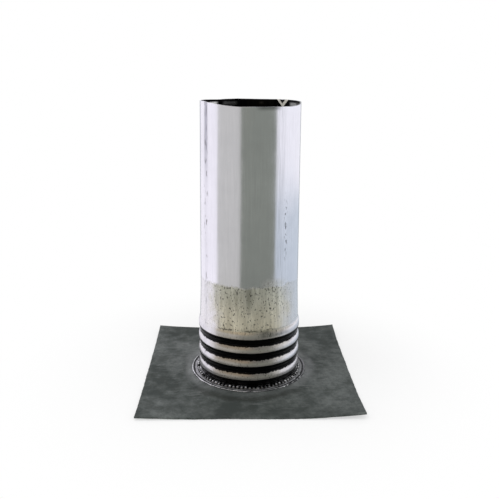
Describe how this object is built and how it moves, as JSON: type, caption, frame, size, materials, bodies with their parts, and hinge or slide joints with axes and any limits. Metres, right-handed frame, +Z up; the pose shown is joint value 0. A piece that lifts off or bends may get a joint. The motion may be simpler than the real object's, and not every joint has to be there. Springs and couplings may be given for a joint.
{
  "type": "pipe flashing boot",
  "caption": "Lead roof flashing boot: tall round sleeve with rolled ribs at its foot, burned onto a square flashing sheet with softly curled corners.",
  "frame": {"origin": "on the underside of the flashing sheet, at the axis of the sleeve", "axes": "+Z up along the sleeve, away from the roof; +X and +Y along the sides of the square sheet, with -Y at the side that faces the viewer"},
  "size_m": [0.254, 0.254, 0.338],
  "materials": {
    "drawn_lead": "bright drawn lead with fine lines along the sleeve",
    "sheet_lead": "dull dark grey patina",
    "burned_lead": "fresh, rippled, lead-welded metal"
  },
  "bodies": {
    "root": {"sleeve": "drawn_lead", "flashing_sheet": "sheet_lead", "burned_seam": "burned_lead"}
  },
  "joints": []
}
